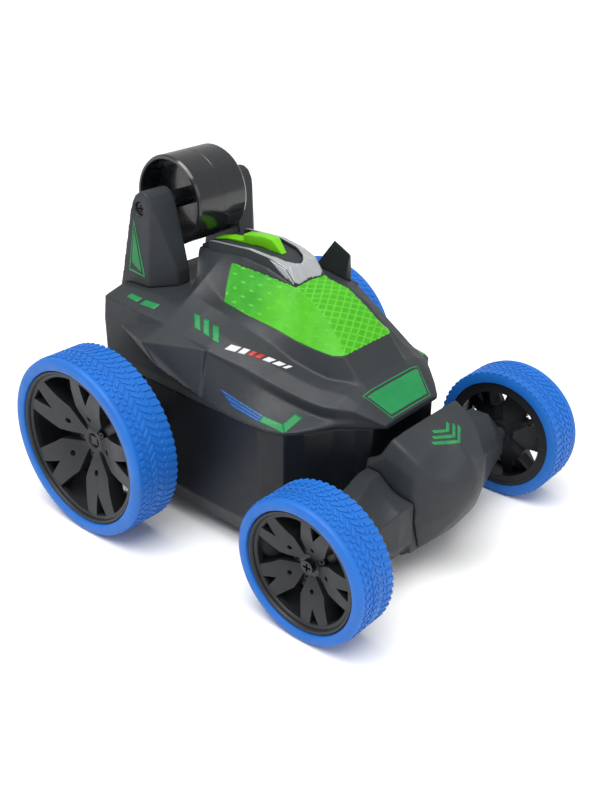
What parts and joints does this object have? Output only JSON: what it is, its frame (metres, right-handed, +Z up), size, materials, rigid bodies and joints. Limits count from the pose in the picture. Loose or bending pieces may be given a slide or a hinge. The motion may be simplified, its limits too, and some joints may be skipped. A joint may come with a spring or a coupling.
{
  "type": "radio-controlled stunt car",
  "caption": "Four-wheeled radio-controlled stunt car: large driven rear wheels, smaller free front wheels, a wedge-shaped body with canopy, and a free tail roller between two towers.",
  "frame": {"origin": "on the ground, under the centre of the car's bounding box", "axes": "+X forward, +Y to the car's left, +Z up"},
  "size_m": [0.163, 0.1476, 0.1292],
  "materials": {
    "shell_plastic": "fine matt moulded grey",
    "tub_plastic": "satin moulded near-black",
    "canopy_green": "translucent lime with diamond relief",
    "lime_plastic": "glossy lime",
    "silver_paint": "satin silver paint",
    "roller_black": "polished black",
    "rim_black": "satin black",
    "tyre_blue": "soft matt blue rubber",
    "gear_nylon": "natural nylon",
    "steel": "zinc plated",
    "black_steel": "blackened steel",
    "motor_can": "plated motor can",
    "board_green": "solder mask",
    "board_black": "moulded component",
    "cell_wrap": "cell sleeve",
    "decal_green": "printed green",
    "decal_blue": "printed blue",
    "decal_white": "printed white",
    "decal_red": "printed red"
  },
  "bodies": {
    "chassis": {"upper_shell": "shell_plastic", "canopy": "canopy_green", "roof_trim": "silver_paint", "roof_panel": "shell_plastic", "roof_blade": "lime_plastic", "side_fin": "shell_plastic", "roller_tower_right": "shell_plastic", "roller_tower_left": "shell_plastic", "lower_tub": "tub_plastic", "battery_door": "tub_plastic", "battery_door_screw": "steel", "battery_cells": "cell_wrap", "battery_contacts": "steel", "chassis_screws": "steel", "front_axle_housing": "shell_plastic", "nose_pod": "shell_plastic", "nose_plate": "shell_plastic", "nose_screws": "steel", "front_hub_screws": "black_steel", "circuit_board": "board_green", "board_parts": "board_black", "board_screws": "steel", "power_switch_body": "board_black", "gearbox_screws": "steel", "roller_axle": "steel", "roller_screws": "black_steel", "motor_right": "motor_can", "reduction_spindle_right": "steel", "gearbox_housing_right": "tub_plastic", "gearbox_cover_right": "tub_plastic", "gearbox_bush_right": "gear_nylon", "axle_bush_right": "gear_nylon", "motor_left": "motor_can", "reduction_spindle_left": "steel", "gearbox_housing_left": "tub_plastic", "gearbox_cover_left": "tub_plastic", "gearbox_bush_left": "gear_nylon", "axle_bush_left": "gear_nylon"},
    "switch_slider": {"power_switch_knob": "board_black"},
    "rear_wheel_right": {"rear_tyre_right": "tyre_blue", "rear_rim_right": "rim_black", "rear_axle_right": "black_steel", "axle_gear_right": "gear_nylon"},
    "reduction_right": {"reduction_gear_right": "gear_nylon"},
    "rotor_right": {"motor_pinion_right": "gear_nylon", "motor_shaft_right": "steel"},
    "front_wheel_right": {"front_tyre_right": "tyre_blue", "front_rim_right": "rim_black"},
    "rear_wheel_left": {"rear_tyre_left": "tyre_blue", "rear_rim_left": "rim_black", "rear_axle_left": "black_steel", "axle_gear_left": "gear_nylon"},
    "reduction_left": {"reduction_gear_left": "gear_nylon"},
    "rotor_left": {"motor_pinion_left": "gear_nylon", "motor_shaft_left": "steel"},
    "front_wheel_left": {"front_tyre_left": "tyre_blue", "front_rim_left": "rim_black"},
    "tail_roller": {"roller_half_right": "roller_black", "roller_half_left": "roller_black"}
  },
  "joints": [
    {"name": "power_switch_slide", "type": "slide", "parent": "chassis", "child": "switch_slider", "axis": [1, 0, 0], "range_m": [0, 0.004]},
    {"name": "rear_wheel_spin_right", "type": "hinge", "parent": "chassis", "child": "rear_wheel_right", "pos_m": [-0.0465, -0.0643, 0.035], "axis": [0, 1, 0], "continuous": true},
    {"name": "reduction_spin_right", "type": "hinge", "parent": "chassis", "child": "reduction_right", "pos_m": [-0.03518, -0.009, 0.03088], "axis": [0, 1, 0], "continuous": true},
    {"name": "rotor_spin_right", "type": "hinge", "parent": "chassis", "child": "rotor_right", "pos_m": [-0.02354, -0.02, 0.02776], "axis": [0, 1, 0], "continuous": true},
    {"name": "front_wheel_spin_right", "type": "hinge", "parent": "chassis", "child": "front_wheel_right", "pos_m": [0.0555, -0.0598, 0.026], "axis": [0, 1, 0], "continuous": true},
    {"name": "rear_wheel_spin_left", "type": "hinge", "parent": "chassis", "child": "rear_wheel_left", "pos_m": [-0.0465, 0.0643, 0.035], "axis": [0, 1, 0], "continuous": true},
    {"name": "reduction_spin_left", "type": "hinge", "parent": "chassis", "child": "reduction_left", "pos_m": [-0.03518, 0.009, 0.03088], "axis": [0, 1, 0], "continuous": true},
    {"name": "rotor_spin_left", "type": "hinge", "parent": "chassis", "child": "rotor_left", "pos_m": [-0.02354, 0.02, 0.02776], "axis": [0, 1, 0], "continuous": true},
    {"name": "front_wheel_spin_left", "type": "hinge", "parent": "chassis", "child": "front_wheel_left", "pos_m": [0.0555, 0.0598, 0.026], "axis": [0, 1, 0], "continuous": true},
    {"name": "tail_roller_spin", "type": "hinge", "parent": "chassis", "child": "tail_roller", "pos_m": [-0.0564, 0, 0.1122], "axis": [0, 1, 0], "continuous": true}
  ],
  "couplings": [
    {"joint": "reduction_spin_right", "follows": "rear_wheel_spin_right", "ratio": -3},
    {"joint": "rotor_spin_right", "follows": "rear_wheel_spin_right", "ratio": 9},
    {"joint": "reduction_spin_left", "follows": "rear_wheel_spin_left", "ratio": -3},
    {"joint": "rotor_spin_left", "follows": "rear_wheel_spin_left", "ratio": 9}
  ]
}
